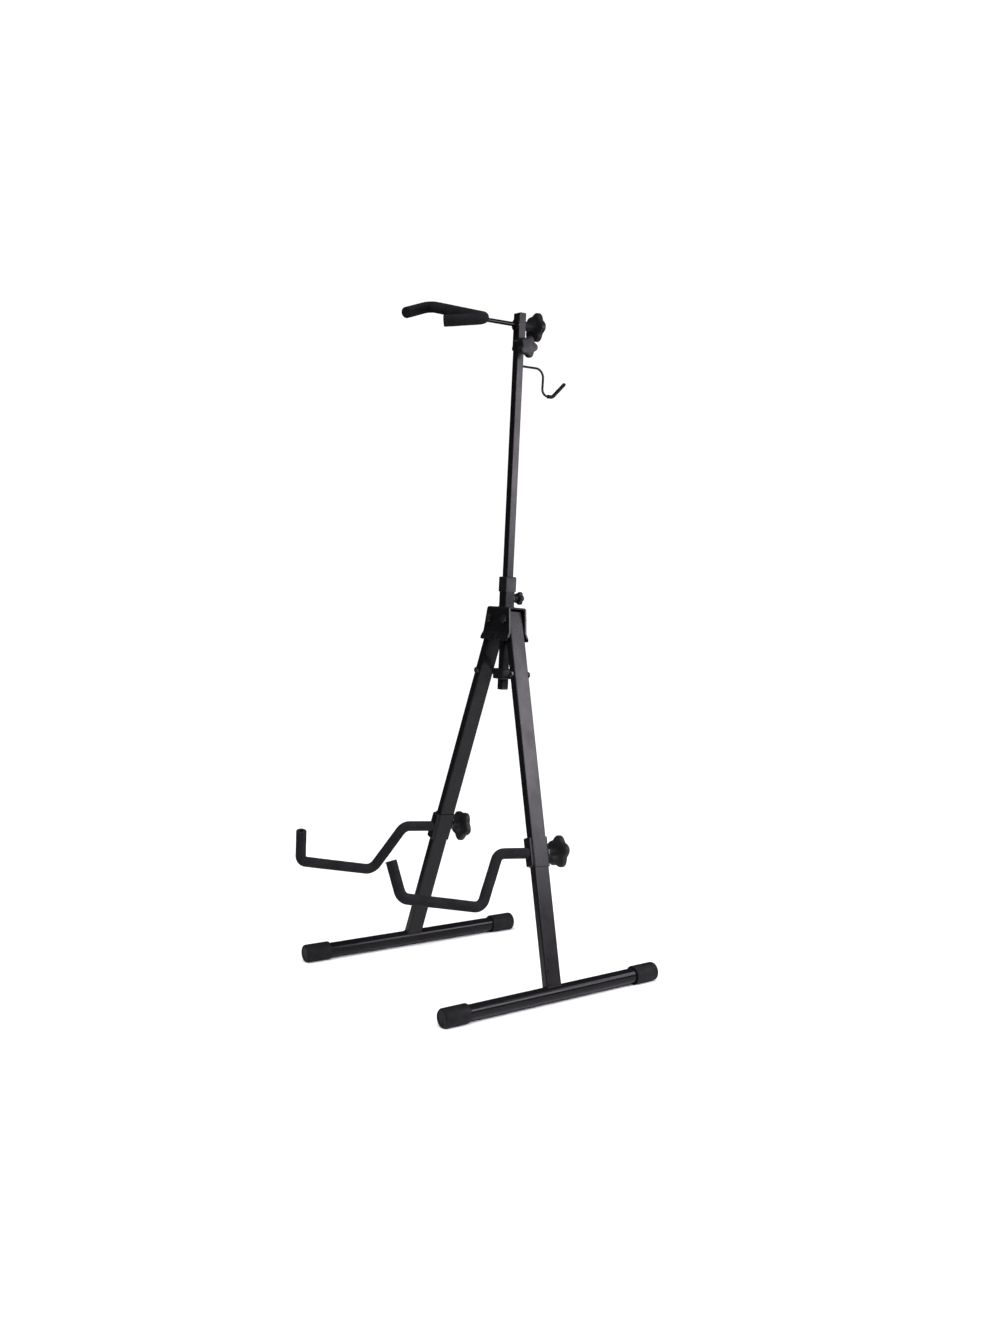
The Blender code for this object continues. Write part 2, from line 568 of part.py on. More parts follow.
def make_head():
    """Block with two round-ended ears astride the mast's top."""
    tilt = MAST.moved(0.0, 0.0, TILT_UP)
    top = HEAD_TOP - TILT_UP
    half = HEAD_HALF_Y
    outline = [(half * cos(pi + pi * i / 12), half * sin(pi + pi * i / 12)) for i in range(13)]
    outline += [(half, top - 0.002), (half - 0.0006, top - 0.0006), (half - 0.002, top)]
    outline += [(-half + 0.002, top), (-half + 0.0006, top - 0.0006), (-half, top - 0.002)]
    small = [(u * 0.93, v if v < 0.0 else v - 0.0004) for u, v in outline]
    rings = [level(tilt, small, -HEAD_HALF_X, "x"), level(tilt, outline, -HEAD_HALF_X + 0.0005, "x"),
             level(tilt, outline, HEAD_HALF_X - 0.0005, "x"), level(tilt, small, HEAD_HALF_X, "x")]
    head = add_part("head_block", ring_solid(rings), "black_paint", tilt.origin)
    slot = MAST_HALF + 0.0003
    cut(head, "cut_head_slot", block(tilt, slot, -0.02, 0.02, -0.02, HEAD_SLOT_TOP))
    cut(head, "cut_head_tilt_hole", cylinder(tilt, TILT_BOLT_R + CLEAR, -0.02, 0.02, "x"))
    rod = MAST.moved(0.0, 0.0, YOKE_UP)
    cut(head, "cut_head_rod_hole", cylinder(rod, YOKE_ROD_R + CLEAR, -0.02, 0.02, "y"))

    start = HEAD_HALF_X + CLEAR
    add_part("tilt_bolt", bolt(tilt, TILT_BOLT_R, 0.0050, -start - 0.0040, -start, 0.0240, "x"),
             "black_steel", tilt.origin)
    knob = star_knob(tilt, "x", start + 0.0004, TILT_KNOB, TILT_BOLT_R, 0.0150)
    add_part("tilt_knob", knob, "plastic", tilt.origin)


def yoke_point(across, back):
    """Point of the plane the yoke's frame lies in, measured from the middle of its base bar."""
    turn = Matrix.Rotation(YOKE_ROLL, 3, "Y") @ Matrix.Rotation(YOKE_DROOP, 3, "X")
    x, y, z = turn @ Vector((across, back, 0.0))
    return MAST.at(x, y - YOKE_FORWARD, z + YOKE_UP + YOKE_RISE)


def yoke_path():
    """Line of the yoke's frame: a base bar across the rod, and two arms that turn in to the front."""
    tip_x, tip_y = YOKE_HALF - sin(YOKE_TURN_IN) * YOKE_ARM, -cos(YOKE_TURN_IN) * YOKE_ARM
    corners = [yoke_point(-tip_x, tip_y), yoke_point(-YOKE_HALF, 0.0),
               yoke_point(YOKE_HALF, 0.0), yoke_point(tip_x, tip_y)]
    return rounded_path(corners, [YOKE_CORNER, YOKE_CORNER], steps=8)


def shortened(path, length):
    """The path with its two ends drawn in."""
    start = path[0] + (path[1] - path[0]).normalized() * length
    end = path[-1] + (path[-2] - path[-1]).normalized() * length
    return [start] + path[1:-1] + [end]


def make_yoke():
    """Foam-covered yoke whose base bar sits in a saddle cut in the end of its rod."""
    path = yoke_path()
    side = MAST.axes[2]
    rod = MAST.moved(0.0, 0.0, YOKE_UP)
    edge = 0.0012
    skin = sections([path[0]] + shortened(path, edge) + [path[-1]], YOKE_FOAM_R, 16, side)
    for index, middle in ((0, path[0]), (-1, path[-1])):
        skin[index] = [middle + (point - middle) * (1.0 - edge / YOKE_FOAM_R) for point in skin[index]]
    foam = add_part("yoke_foam", ring_solid(skin), "foam", rod.origin)
    way = sections(shortened(path, YOKE_END_WALL), YOKE_FRAME_R + CLEAR, 16, side)
    cut(foam, "cut_yoke_foam_bore", ring_solid(way))
    front = -YOKE_FORWARD
    cut(foam, "cut_yoke_foam_hole", cylinder(rod, YOKE_ROD_R + CLEAR, front - CLEAR, front + 0.02, "y"))

    frame = sections(shortened(path, YOKE_END_WALL + CLEAR), YOKE_FRAME_R, 12, side)
    add_part("yoke_frame", ring_solid(frame), "black_paint", rod.origin)
    rings = [level(rod, circle(YOKE_ROD_R), front, "y"), level(rod, circle(YOKE_ROD_R), 0.0240, "y"),
             level(rod, circle(YOKE_ROD_R - 0.0006), 0.0246, "y")]
    yoke_rod = add_part("yoke_rod", ring_solid(rings), "black_paint", rod.origin)
    saddle = sections([yoke_point(-0.02, 0.0), yoke_point(0.02, 0.0)], YOKE_FRAME_R + CLEAR, 24, side)
    cut(yoke_rod, "cut_yoke_rod_saddle", ring_solid(saddle))

    face = -HEAD_HALF_Y - CLEAR
    bore = circle(YOKE_ROD_R + CLEAR, 32)
    rings = [level(rod, bore, face, "y"), level(rod, circle(WASHER_R, 32), face, "y"),
             level(rod, circle(WASHER_R, 32), face - 0.0018, "y"),
             level(rod, circle(WASHER_R - 0.0006, 32), face - 0.0023, "y"),
             level(rod, bore, face - 0.0023, "y")]
    add_part("yoke_washer", ring_loop(rings), "black_paint", rod.origin)
    knob = star_knob(rod, "y", HEAD_HALF_Y + 0.0006, YOKE_KNOB, YOKE_ROD_R, 0.0185)
    add_part("yoke_knob", knob, "plastic", rod.origin)


def make_height_knob():
    knob = MAST.moved(0.0, 0.0, HEIGHT_KNOB_UP)
    back = SOCKET_HALF + CLEAR
    body = nut(knob, HEIGHT_SCREW_R, 0.0050, back, back + HEIGHT_NUT)
    add_part("height_nut", body, "black_steel", knob.origin)
    body = screw(knob, HEIGHT_SCREW_R, MAST_HALF + CLEAR, 0.0240)
    add_part("height_screw", body, "steel", knob.origin)
    body = star_knob(knob, "y", back + HEIGHT_NUT + 0.0006, HEIGHT_KNOB, HEIGHT_SCREW_R, 0.0100)
    add_part("height_knob", body, "plastic", knob.origin)


def make_arm(side, name):
    """Sleeve, front plate, bent rod, foam and clamp knob of one body arm."""
    leg = leg_frame(side)
    middle = leg.moved(0.0, 0.0, -SLEEVE_ALONG)
    half = SLEEVE_TALL / 2
    in_x, in_y = LEG_X / 2 + SLEEVE_GAP, LEG_Y / 2 + SLEEVE_GAP
    out_x, out_y = in_x + SLEEVE_WALL, in_y + SLEEVE_WALL
    outer, inner = rounded(out_x, out_y, 0.0034), rounded(in_x, in_y, 0.0024)
    rings = [level(middle, outer, -half), level(middle, outer, half),
             level(middle, inner, half), level(middle, inner, -half)]
    sleeve = add_part(name + "_sleeve", ring_loop(rings), "black_paint", middle.origin)
    cut(sleeve, "cut_%s_clamp_hole" % name, cylinder(middle, CLAMP_SCREW_R + CLEAR, 0.0, 0.03, "y"))

    plate_back = -out_y - CLEAR
    plate = rounded(PLATE_HALF_X, half - 0.001, 0.0020)
    trim = rounded(PLATE_HALF_X - 0.0008, half - 0.0018, 0.0014)
    rings = [level(middle, plate, plate_back, "y"), level(middle, plate, plate_back - PLATE_T + 0.0008, "y"),
             level(middle, trim, plate_back - PLATE_T, "y")]
    add_part(name + "_plate", ring_solid(rings), "black_paint", middle.origin)

    corners = [leg.at(0.0, -forward, -down) for forward, down in ARM_PATH]
    start = plate_back - PLATE_T - CLEAR
    corners[0] = leg.at(0.0, start, -ARM_PATH[0][1])
    path = rounded_path(corners, ARM_BENDS, steps=6)
    across = leg.axes[0]
    foam_path = [leg.at(0.0, start - 0.0004, -ARM_PATH[0][1])] + path[1:]
    foam = foam_sleeve(foam_path, ARM_ROD_R, ARM_FOAM_R, across, edge=0.0012, end_wall=0.004)
    add_part(name + "_arm_foam", foam, "foam", middle.origin)
    rod_path = path[:-1] + [path[-1] - (path[-1] - path[-2]).normalized() * ARM_ROD_SHORT]
    rod = ring_solid(sections(rod_path, ARM_ROD_R, 12, across))
    add_part(name + "_arm_rod", rod, "black_paint", middle.origin)

    back = out_y + CLEAR
    body = nut(middle, CLAMP_SCREW_R, 0.0065, back, back + CLAMP_NUT)
    add_part(name + "_clamp_nut", body, "black_steel", middle.origin)
    body = screw(middle, CLAMP_SCREW_R, LEG_Y / 2 + CLEAR, back + 0.0130)
    add_part(name + "_clamp_screw", body, "steel", middle.origin)
    body = star_knob(middle, "y", back + CLAMP_NUT + 0.0006, CLAMP_KNOB, CLAMP_SCREW_R, 0.0120)
    add_part(name + "_clamp_knob", body, "plastic", middle.origin)


def make_materials():
    for name, (colour, roughness, metallic) in MATERIALS.items():
        material = bpy.data.materials.new(name)
        material.use_nodes = True
        shader = material.node_tree.nodes["Principled BSDF"]
        shader.inputs["Base Color"].default_value = colour
        shader.inputs["Roughness"].default_value = roughness
        shader.inputs["Metallic"].default_value = metallic
        material.diffuse_color = colour


def give_own_materials():
    """Each piece gets its own copy of its finish, named after the piece."""
    for part in bpy.data.objects:
        if part.type == "MESH" and not part.hide_render:
            own = part.data.materials[0].copy()
            own.name = part.name + "_finish"
            part.data.materials[0] = own


def main():
    for existing in list(bpy.data.objects):
        bpy.data.objects.remove(existing, do_unlink=True)
    make_materials()
    make_bracket()
    make_socket()
    make_collar()
    make_hinge_bolts()
    make_slider()
    for side, name in ((-1, "left"), (1, "right")):
        make_leg(side, name)
        make_link(side, name)
        make_arm(side, name)
    make_mast()
    make_bow_hook()
    make_head()
    make_yoke()
    make_height_knob()
    give_own_materials()


main()
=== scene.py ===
"""Looks of a folding floor stand for a stringed instrument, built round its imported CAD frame.

Metres, +Z up, -Y to the front. The CAD's metalwork stays and gets painted finishes here. Foam,
rubber caps, hand knobs and weld beads are modelled here in finer detail.
"""
from math import atan, cos, exp, pi, radians, sin, sqrt, tan

import bpy
import bmesh
from mathutils import Matrix, Vector, noise


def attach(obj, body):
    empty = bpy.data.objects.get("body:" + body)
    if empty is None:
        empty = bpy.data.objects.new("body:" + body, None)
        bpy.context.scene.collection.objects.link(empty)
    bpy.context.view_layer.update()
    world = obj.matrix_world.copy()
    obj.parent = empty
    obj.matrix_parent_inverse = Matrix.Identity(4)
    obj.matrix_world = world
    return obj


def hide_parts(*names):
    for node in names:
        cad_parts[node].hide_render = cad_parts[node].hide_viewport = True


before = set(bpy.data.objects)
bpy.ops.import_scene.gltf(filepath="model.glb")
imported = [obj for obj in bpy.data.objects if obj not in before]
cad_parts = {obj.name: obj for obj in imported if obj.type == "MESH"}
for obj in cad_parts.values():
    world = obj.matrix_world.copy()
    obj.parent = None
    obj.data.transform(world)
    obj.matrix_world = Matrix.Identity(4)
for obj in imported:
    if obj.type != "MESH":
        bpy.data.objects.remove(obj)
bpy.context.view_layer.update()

# Layout of the CAD, repeated here
FEET_SPACING, FEET_MID_Y, FOOT_AXIS_Z, FOOT_LENGTH = 0.444, 0.02496, 0.0156, 0.440
PIVOT_Z, PIVOT_HALF = 0.6159, 0.0230
LEG_LEAN, MAST_LEAN = radians(6.07), radians(3.57)
CLEAR = 0.0003
LEG_X, LEG_Y, FOOT_R = 0.0150, 0.0300, 0.0127
CAP_R, CAP_LENGTH, CAP_END = 0.0160, 0.048, 0.005
BRACKET_TOP, SOCKET_HALF = 0.0212, 0.0100
TILT_UP, HEAD_HALF_X, HEAD_HALF_Y = 0.4695, 0.0090, 0.0070
YOKE_UP, YOKE_FORWARD, YOKE_RISE = 0.5089, 0.1265, 0.0048
YOKE_ROD_R, YOKE_FRAME_R, YOKE_FOAM_R = 0.00375, 0.0040, 0.0096
YOKE_HALF, YOKE_CORNER = 0.0935, 0.0115
YOKE_ARM, YOKE_TURN_IN = 0.0728, radians(25.1)
YOKE_DROOP, YOKE_ROLL = radians(14.6), radians(13.1)
HOOK_R, HOOK_SLEEVE_R, HOOK_TIP = 0.0020, 0.0032, 0.0012
HOOK_PATH = [(0.0035, 0.4395), (0.0556, 0.4395), (0.0545, 0.3937), (0.0770, 0.3934), (0.1023, 0.4190)]
HOOK_BENDS = [0.016, 0.012, 0.010]
SLEEVE_ALONG = 0.4040
SLEEVE_OUT_Y, PLATE_T, PLATE_HALF_X = 0.0168, 0.0040, 0.0085
ARM_PATH = [(0.0214, 0.4054), (0.0808, 0.4054), (0.1238, 0.4922), (0.2724, 0.4726), (0.2853, 0.4135)]
ARM_BENDS = [0.018, 0.020, 0.016]
ARM_ROD_R, ARM_FOAM_R = 0.0040, 0.0090
HEIGHT_KNOB_UP = 0.0373
NUT_AND_GAP, TILT_KNOB_GAP, YOKE_KNOB_GAP = 0.0046, 0.0004, 0.0006
# Hand knobs: hub radius, hub length, head thickness, head radius, lobe depth, bore radius, bore depth
CLAMP_KNOB = (0.0072, 0.0150, 0.0115, 0.0280, 0.0056, 0.0040, 0.0120)
YOKE_KNOB = (0.0085, 0.0205, 0.0115, 0.0258, 0.0050, YOKE_ROD_R, 0.0185)
TILT_KNOB = (0.0070, 0.0110, 0.0120, 0.0194, 0.0050, 0.0030, 0.0150)
HEIGHT_KNOB = (0.0055, 0.0065, 0.0085, 0.0118, 0.0028, 0.0030, 0.0100)

RIGHT = Vector((1.0, 0.0, 0.0))
UP = Vector((0.0, 0.0, 1.0))
SPLAY = atan((FEET_SPACING / 2 - PIVOT_HALF) * cos(LEG_LEAN) / (PIVOT_Z - FOOT_AXIS_Z))


class Frame:
    """A right-handed frame: a point and three unit directions."""

    def __init__(self, origin, x_dir, y_dir, z_dir):
        self.origin, self.axes = origin, (x_dir, y_dir, z_dir)

    def at(self, x, y, z):
        return self.origin + x * self.axes[0] + y * self.axes[1] + z * self.axes[2]

    def moved(self, x, y, z):
        return Frame(self.at(x, y, z), *self.axes)


def leaning(angle):
    """Frame midway between the legs' hinge bolts, with its z leaning back by an angle."""
    top = Vector((0.0, FEET_MID_Y + tan(LEG_LEAN) * (PIVOT_Z - FOOT_AXIS_Z), PIVOT_Z))
    return Frame(top, RIGHT, Vector((0.0, cos(angle), -sin(angle))), Vector((0.0, sin(angle), cos(angle))))


PLANE, MAST = leaning(LEG_LEAN), leaning(MAST_LEAN)


def leg_frame(side):
    """Frame at a leg's hinge bolt: x across the leg, y to the back, z up the leg."""
    x_dir = cos(SPLAY) * RIGHT + side * sin(SPLAY) * PLANE.axes[2]
    z_dir = cos(SPLAY) * PLANE.axes[2] - side * sin(SPLAY) * RIGHT
    return Frame(PLANE.at(side * PIVOT_HALF, 0.0, 0.0), x_dir, PLANE.axes[1], z_dir)


def foot_frame(side):
    """Frame at a foot tube's middle, with y along the tube."""
    toe = atan(tan(SPLAY) * sin(LEG_LEAN))
    y_dir = Vector((-side * sin(toe), cos(toe), 0.0))
    return Frame(Vector((side * FEET_SPACING / 2, FEET_MID_Y, FOOT_AXIS_Z)), y_dir.cross(UP), y_dir, UP)


# Finishes ------------------------------------------------------------------------------------

class Finish:
    """A node material. Its textures lie in the object's own rest coordinates, in metres."""

    def __init__(self, name, **constants):
        self.material = bpy.data.materials.new(name)
        self.material.use_nodes = True
        self.tree = self.material.node_tree
        self.shader = self.tree.nodes["Principled BSDF"]
        for socket, value in constants.items():
            self.shader.inputs[socket.replace("_", " ")].default_value = value
        self.place = self.tree.nodes.new("ShaderNodeTexCoord").outputs["Object"]

    def node(self, kind, **settings):
        made = self.tree.nodes.new(kind)
        for name, value in settings.items():
            setattr(made, name, value)
        return made

    def link(self, source, target):
        self.tree.links.new(source, target)

    def noise(self, scale, detail=2.0, stretch=None):
        made = self.node("ShaderNodeTexNoise")
        made.inputs["Scale"].default_value = scale
        made.inputs["Detail"].default_value = detail
        self.link(self.stretched(stretch) if stretch else self.place, made.inputs["Vector"])
        return made.outputs["Fac"]

    def cells(self, scale):
        made = self.node("ShaderNodeTexVoronoi")
        made.inputs["Scale"].default_value = scale
        self.link(self.place, made.inputs["Vector"])
        return made.outputs["Distance"]

    def stretched(self, scale):
        made = self.node("ShaderNodeMapping")
        made.inputs["Scale"].default_value = scale
        self.link(self.place, made.inputs["Vector"])
        return made.outputs["Vector"]

    def waves(self, scale, direction):
        made = self.node("ShaderNodeTexWave", wave_type="BANDS", bands_direction=direction)
        made.inputs["Scale"].default_value = scale
        made.inputs["Distortion"].default_value = 0.2
        self.link(self.place, made.inputs["Vector"])
        return made.outputs["Fac"]

    def ranged(self, value, low, high, to_low, to_high):
        made = self.node("ShaderNodeMapRange")
        self.link(value, made.inputs["Value"])
        for name, number in (("From Min", low), ("From Max", high), ("To Min", to_low), ("To Max", to_high)):
            made.inputs[name].default_value = number
        return made.outputs["Result"]

    def maths(self, operation, first, second):
        made = self.node("ShaderNodeMath", operation=operation)
        for index, value in enumerate((first, second)):
            if isinstance(value, float):
                made.inputs[index].default_value = value
            else:
                self.link(value, made.inputs[index])
        return made.outputs["Value"]

    def edges(self, radius):
        """1 on the part's outer and inner edges, falling to 0 within the radius."""
        bevel = self.node("ShaderNodeBevel", samples=6)
        bevel.inputs["Radius"].default_value = radius
        geometry = self.node("ShaderNodeNewGeometry")
        product = self.node("ShaderNodeVectorMath", operation="DOT_PRODUCT")
        self.link(bevel.outputs["Normal"], product.inputs[0])
        self.link(geometry.outputs["Normal"], product.inputs[1])
        return self.ranged(product.outputs["Value"], 0.995, 0.90, 0.0, 1.0)

    def mixed(self, share, first, second):
        """Colour between two colours, or two colour sockets, by a share."""
        made = self.node("ShaderNodeMix", data_type="RGBA")
        self.link(share, made.inputs["Factor"])
        for socket, value in ((made.inputs[6], first), (made.inputs[7], second)):
            if isinstance(value, tuple):
                socket.default_value = (*value, 1.0)
            else:
                self.link(value, socket)
        return made.outputs[2]

    def colour(self, value):
        self.link(value, self.shader.inputs["Base Color"])

    def roughness(self, value):
        self.link(value, self.shader.inputs["Roughness"])

    def bumps(self, *layers):
        """Stack bumps: each layer is a height, its strength, and its depth in metres."""
        normal = None
        for height, strength, depth in layers:
            made = self.node("ShaderNodeBump")
            made.inputs["Strength"].default_value = strength
            made.inputs["Distance"].default_value = depth
            self.link(height, made.inputs["Height"])
            if normal is not None:
                self.link(normal, made.inputs["Normal"])
            normal = made.outputs["Normal"]
        self.link(normal, self.shader.inputs["Normal"])


def paint(name, dark, light, roughness, peel, specular):
    """Black enamel with a fine orange peel, a few dull patches, and lighter spots along its edges: partly
    worn paint, partly a painted edge highlight.
    """
    finish = Finish(name, Specular_IOR_Level=specular)
    broad = finish.noise(11.0, 3.0)
    coat = finish.mixed(finish.ranged(broad, 0.35, 0.65, 0.0, 1.0), dark, light)
    # Lighter grey spots along every edge: partly worn paint, partly a painted highlight of the rounded
    # edges.
    specks = finish.ranged(finish.noise(330.0, 3.0), 0.50, 0.66, 0.0, 1.0)
    edge_wear_and_highlight = finish.maths("MULTIPLY", finish.edges(0.0011), specks)
    worn = finish.maths("MULTIPLY", edge_wear_and_highlight, 0.55)
    finish.colour(finish.mixed(worn, coat, (0.085, 0.082, 0.088)))
    dull = finish.ranged(finish.noise(34.0, 5.0), 0.40, 0.70, roughness - 0.03, roughness + 0.07)
    finish.roughness(finish.maths("ADD", dull, finish.maths("MULTIPLY", edge_wear_and_highlight, 0.12)))
    finish.bumps((finish.noise(520.0, 1.5), peel, 0.0004), (finish.noise(2100.0, 1.0), peel * 0.6, 0.0002))
    return finish.material


def foam_finish():
    """Closed-cell foam: dull black, with fine open cells darkened by painted shade, and paler rubbed
    patches.
    """
    finish = Finish("foam_black", Specular_IOR_Level=0.10, Sheen_Weight=0.02, Sheen_Roughness=0.5)
    finish.shader.inputs["Sheen Tint"].default_value = (0.80, 0.80, 0.86, 1.0)
    patches = finish.ranged(finish.noise(38.0, 4.0), 0.35, 0.68, 0.0, 1.0)
    base = finish.mixed(patches, (0.0088, 0.0086, 0.0097), (0.0140, 0.0137, 0.0153))
    cells = finish.cells(1050.0)
    # Painted shade: the colour darkens at the cell centres, where the cell bump sinks in.
    painted_pore_shade = finish.ranged(cells, 0.05, 0.42, 0.75, 0.0)
    finish.colour(finish.mixed(painted_pore_shade, base, (0.0050, 0.0050, 0.0056)))
    finish.roughness(finish.ranged(finish.noise(140.0, 3.0), 0.3, 0.7, 0.80, 0.95))
    finish.bumps((finish.noise(190.0, 3.0), 0.22, 0.0008), (cells, 0.55, 0.0005),
                 (finish.noise(2600.0, 1.0), 0.35, 0.0002))
    return finish.material


def rubber_finish():
    """Dull black rubber with faint patches, and grey scuffs along its edges."""
    finish = Finish("rubber_black", Specular_IOR_Level=0.12)
    patches = finish.ranged(finish.noise(60.0, 4.0), 0.35, 0.70, 0.0, 1.0)
    base = finish.mixed(patches, (0.0060, 0.0058, 0.0066), (0.0100, 0.0097, 0.0107))
    scuffs = finish.ranged(finish.noise(210.0, 5.0), 0.60, 0.76, 0.0, 0.5)
    scuffed = finish.maths("MULTIPLY", finish.edges(0.0016), scuffs)
    finish.colour(finish.mixed(scuffed, base, (0.040, 0.039, 0.042)))
    finish.roughness(finish.ranged(finish.noise(95.0, 4.0), 0.35, 0.70, 0.58, 0.76))
    finish.bumps((finish.noise(260.0, 2.0), 0.20, 0.0004), (finish.noise(1700.0, 2.0), 0.35, 0.0002))
    return finish.material


def plastic_finish(name, dark, light, roughness, specular):
    """Moulded black plastic with a fine spark-eroded grain and polished high spots."""
    finish = Finish(name, Specular_IOR_Level=specular)
    patches = finish.ranged(finish.noise(45.0, 3.0), 0.35, 0.70, 0.0, 1.0)
    worn = finish.ranged(finish.noise(120.0, 4.0), 0.45, 0.7, 0.0, 0.5)
    rubbed = finish.maths("MULTIPLY", finish.edges(0.0018), worn)
    finish.colour(finish.mixed(rubbed, finish.mixed(patches, dark, light), (0.028, 0.027, 0.030)))
    grain = finish.ranged(finish.noise(70.0, 4.0), 0.35, 0.70, roughness - 0.05, roughness + 0.08)
    finish.roughness(finish.maths("SUBTRACT", grain, finish.maths("MULTIPLY", rubbed, 0.2)))
    finish.bumps((finish.cells(1500.0), 0.25, 0.00012), (finish.noise(240.0, 1.0), 0.12, 0.0003))
    return finish.material


def metal_finish(name, dark, light, roughness, metallic, thread=None):
    """Zinc or black-oxide hardware with turning marks; a thread shows as fine bands."""
    finish = Finish(name, Metallic=metallic)
    stain = finish.ranged(finish.noise(150.0, 5.0), 0.35, 0.70, 0.0, 1.0)
    finish.colour(finish.mixed(stain, dark, light))
    finish.roughness(finish.ranged(finish.noise(400.0, 3.0), 0.3, 0.7, roughness - 0.06, roughness + 0.12))
    layers = [(finish.noise(900.0, 2.0, (1.0, 0.15, 1.0)), 0.25, 0.0001)]
    if thread:
        layers.append((finish.waves(thread, "Y"), 1.0, 0.0006))
    finish.bumps(*layers)
    return finish.material


SATIN = paint("enamel_satin_black", (0.0040, 0.0038, 0.0044), (0.0060, 0.0057, 0.0065), 0.30, 0.12, 0.18)
GLOSS = paint("enamel_gloss_black", (0.0036, 0.0035, 0.0040), (0.0054, 0.0052, 0.0058), 0.20, 0.06, 0.12)
WELD = paint("enamel_over_weld", (0.0040, 0.0039, 0.0044), (0.0064, 0.0062, 0.0069), 0.34, 0.30, 0.20)
FOAM = foam_finish()
RUBBER = rubber_finish()
KNOB = plastic_finish("plastic_knob_black", (0.0084, 0.0083, 0.0092), (0.0130, 0.0127, 0.0138),
                      0.52, 0.24)
MOULDED = plastic_finish("plastic_moulded_black", (0.0050, 0.0050, 0.0056), (0.0085, 0.0083, 0.0091),
                         0.46, 0.30)
ZINC = metal_finish("steel_zinc", (0.34, 0.34, 0.36), (0.52, 0.51, 0.50), 0.34, 1.0, 800.0)
BOLT = metal_finish("steel_black_oxide", (0.030, 0.029, 0.033), (0.062, 0.060, 0.064), 0.36, 0.75)

# The first of these words in a CAD node's name gives its finish; other metalwork is satin
CAD_FINISH = {
    "foot_tube": GLOSS, "bolt": BOLT, "nut": BOLT, "rivet": BOLT, "screw": ZINC, "collar": MOULDED,
    "mast_plug": MOULDED, "cap": RUBBER, "foam": FOAM, "knob": KNOB, "hook_sleeve": RUBBER,
}


def finish_cad():
    """Give every carried-over CAD node its finish, by the words of its name."""
    for name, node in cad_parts.items():
        matches = [finish for word, finish in CAD_FINISH.items() if word in name]
        material = matches[0] if matches else SATIN
        slots = node.data.materials
        for index in range(len(slots)):
            slots[index] = material
        if not slots:
            slots.append(material)


# Meshes --------------------------------------------------------------------------------------

def circle(radius, count):
    return [(radius * cos(2 * pi * i / count), radius * sin(2 * pi * i / count)) for i in range(count)]


def rounded(half_x, half_y, radius, steps=6, mids=0):
    """Rounded rectangle; mids adds points along the two sides that run across x."""
    points = []
    for cx, cy, start in ((1, 1, 0.0), (-1, 1, pi / 2), (-1, -1, pi), (1, -1, 3 * pi / 2)):
        for i in range(steps + 1):
            angle = start + pi / 2 * i / steps
            points.append((cx * (half_x - radius) + radius * cos(angle),
                           cy * (half_y - radius) + radius * sin(angle)))
        for i in range(mids if cx == cy else 0):
            points.append((cx * (half_x - radius) * (1 - 2 * (i + 1) / (mids + 1)), cy * half_y))
    return points


def level(place, outline, z, axis):
    """An outline set square to one of a frame's axes, z along it."""
    if axis == "z":
        return [place.at(u, v, z) for u, v in outline]
    if axis == "y":
        return [place.at(u, z, v) for u, v in outline]
    return [place.at(z, u, v) for u, v in outline]


def skinned(rings, closed):
    """Join rings of points; a closed set joins last to first, an open one is capped at both ends."""
    count = len(rings[0])
    verts = [point for ring in rings for point in ring]
    faces = []
    for i in range(len(rings) if closed else len(rings) - 1):
        first, second = i * count, (i + 1) % len(rings) * count
        faces += [(first + k, first + (k + 1) % count, second + (k + 1) % count, second + k)
                  for k in range(count)]
    if not closed:
        faces += [tuple(range(count)), tuple(range(len(verts) - count, len(verts)))]
    return verts, faces


def add_piece(name, body, material, rides_on, replaced=(), sharp=40.0):
    """Make a closed, smoothly shaded piece that moves with a body and may stand for CAD nodes."""
    verts, faces = body
    mesh = bpy.data.meshes.new(name)
    mesh.from_pydata(verts, [], faces)
    work = bmesh.new()
    work.from_mesh(mesh)
    bmesh.ops.recalc_face_normals(work, faces=work.faces)
    work.to_mesh(mesh)
    work.free()
    mesh.shade_smooth()
    mesh.set_sharp_from_angle(angle=radians(sharp))
    mesh.materials.append(material)
    piece = bpy.data.objects.new(name, mesh)
    bpy.context.scene.collection.objects.link(piece)
    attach(piece, rides_on)
    if replaced:
        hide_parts(*replaced)
    return piece


def rounded_path(corners, radii, steps=14):
    """Round the inner corners of a line of points with arcs."""
    path = [corners[0]]
    for before, corner, after, radius in zip(corners, corners[1:], corners[2:], radii):
        into, out = (corner - before).normalized(), (after - corner).normalized()
        turn = into.angle(out)
        start = corner - into * radius * tan(turn / 2)
        side = (out - into * into.dot(out)).normalized()
        for i in range(steps + 1):
            angle = turn * i / steps
            path.append(start + into * radius * sin(angle) + side * radius * (1.0 - cos(angle)))
    path.append(corners[-1])
    return path


def resampled(path, step):
    """Points at even distances along a path, with its two ends kept."""
    lengths = [0.0]
    for before, after in zip(path, path[1:]):
        lengths.append(lengths[-1] + (after - before).length)
    count = max(2, round(lengths[-1] / step))
    points, index = [], 0
    for i in range(count + 1):
        along = lengths[-1] * i / count
        while index < len(path) - 2 and lengths[index + 1] < along:
            index += 1
        share = (along - lengths[index]) / (lengths[index + 1] - lengths[index])
        points.append(path[index].lerp(path[index + 1], min(max(share, 0.0), 1.0)))
    return points


def frames_along(path, side):
    """A frame square to each point of a path; side is a direction that stays off the path's own."""
    frames = []
    for i, point in enumerate(path):
        forward = (path[min(i + 1, len(path) - 1)] - path[max(i - 1, 0)]).normalized()
        across = (side - forward * side.dot(forward)).normalized()
        frames.append(Frame(point, across, forward.cross(across), forward))
    return frames


# Foam ----------------------------------------------------------------------------------------

FOAM_STEP, FOAM_COUNT = 0.0022, 40
CREASE_SPACING = 0.0052
BORE_INSET, MOUTH_SHARE, PLUG_MOUTH = 0.0016, 0.80, 0.0006
ROD_GAP = 0.0004
